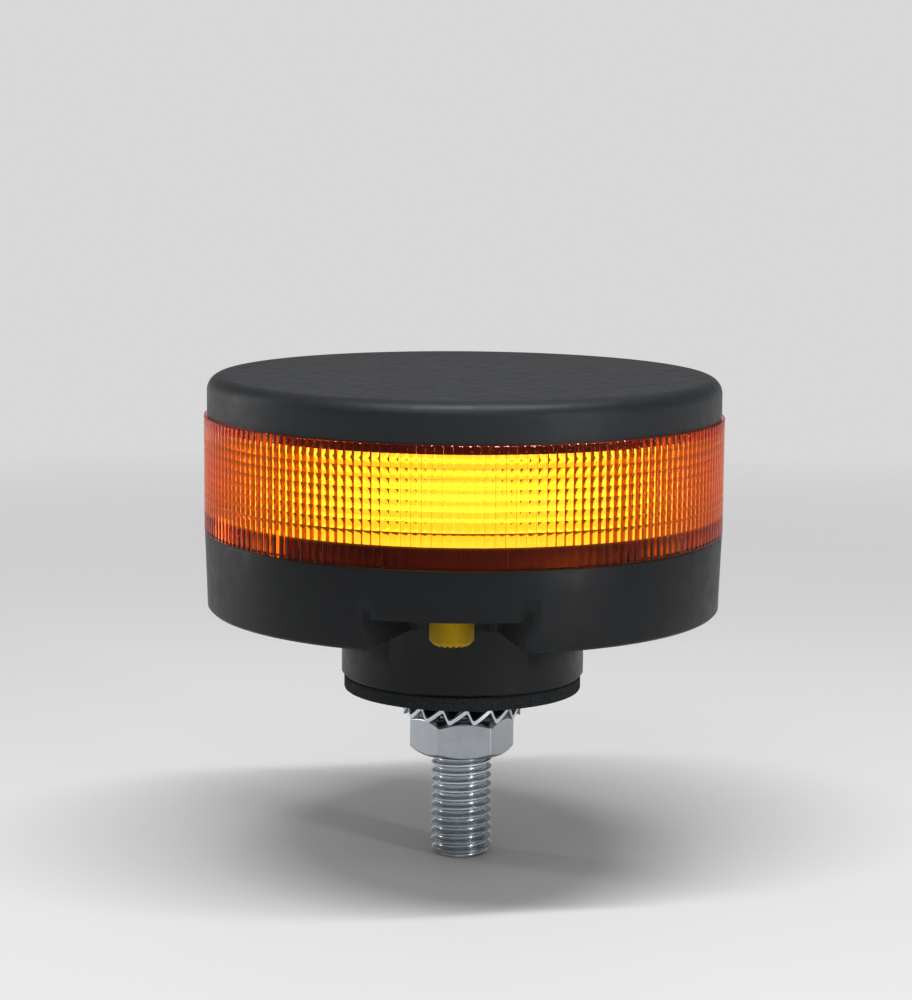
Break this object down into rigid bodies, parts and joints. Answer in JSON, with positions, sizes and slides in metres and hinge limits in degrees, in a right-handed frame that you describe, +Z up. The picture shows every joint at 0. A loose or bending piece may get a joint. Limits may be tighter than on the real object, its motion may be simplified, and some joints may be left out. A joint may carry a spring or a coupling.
{
  "type": "led warning beacon",
  "caption": "Low-profile amber LED warning beacon: fluted lens ring between a black cover and base, held to a panel by a central threaded stud with gasket, washers and nut.",
  "frame": {"origin": "on the stud's axis, at the gasket's underside, which meets the panel", "axes": "+Z up along the stud's axis, away from the panel; -Y is the front, where the cable pocket opens; +X is to the right, seen from the front"},
  "size_m": [0.102, 0.102, 0.0962],
  "materials": {
    "cover_black": "satin, fine moulded grain",
    "base_black": "satin, fine moulded grain",
    "lens_amber": "clear, fluted",
    "seal_rubber": "matt",
    "gasket_foam": "open-pored foam skin",
    "zinc_steel": "bright zinc plate",
    "screw_steel": "plain",
    "carrier_aluminium": "as cast",
    "board_white": "white solder mask",
    "board_green": "green solder mask",
    "led_face": "lit amber",
    "can_aluminium": "sleeved can",
    "ferrite": "matt",
    "chip_black": "matt",
    "terminal_green": "moulded",
    "plug_yellow": "satin"
  },
  "bodies": {
    "root": {"top_cover": "cover_black", "cover_seal": "seal_rubber", "lens_ring": "lens_amber", "lens_seal": "seal_rubber", "base_housing": "base_black", "cover_screws": "screw_steel", "led_carrier": "carrier_aluminium", "leds": "led_face", "driver_board": "board_green", "board_screws": "screw_steel", "input_capacitor": "can_aluminium", "output_capacitor": "can_aluminium", "power_coil": "ferrite", "controller_chip": "chip_black", "current_regulator": "chip_black", "supply_terminal": "terminal_green", "led_header": "chip_black", "mounting_stud": "zinc_steel", "mounting_gasket": "gasket_foam", "led_board_01": "board_white", "led_board_02": "board_white", "led_board_03": "board_white", "led_board_04": "board_white", "led_board_05": "board_white", "led_board_06": "board_white", "led_board_07": "board_white", "led_board_08": "board_white", "led_board_09": "board_white", "led_board_10": "board_white", "led_board_11": "board_white", "led_board_12": "board_white"},
    "washers": {"flat_washer": "zinc_steel", "tooth_lock_washer": "zinc_steel"},
    "nut": {"hex_nut": "zinc_steel"},
    "plug": {"outlet_plug": "plug_yellow", "plug_seal_ring": "seal_rubber"}
  },
  "joints": [
    {"name": "washer_slide", "type": "slide", "parent": "root", "child": "washers", "axis": [0, 0, -1], "range_m": [0, 0.019]},
    {"name": "nut_turn", "type": "hinge", "parent": "washers", "child": "nut", "pos_m": [0, 0, -0.009], "axis": [0, 0, -1], "range_deg": [0, 3909]},
    {"name": "plug_pull", "type": "slide", "parent": "root", "child": "plug", "axis": [0, 0, -1], "range_m": [0, 0.008]}
  ],
  "couplings": [
    {"joint": "nut_turn", "follows": "washer_slide", "rad_per_m": 3590.4}
  ]
}
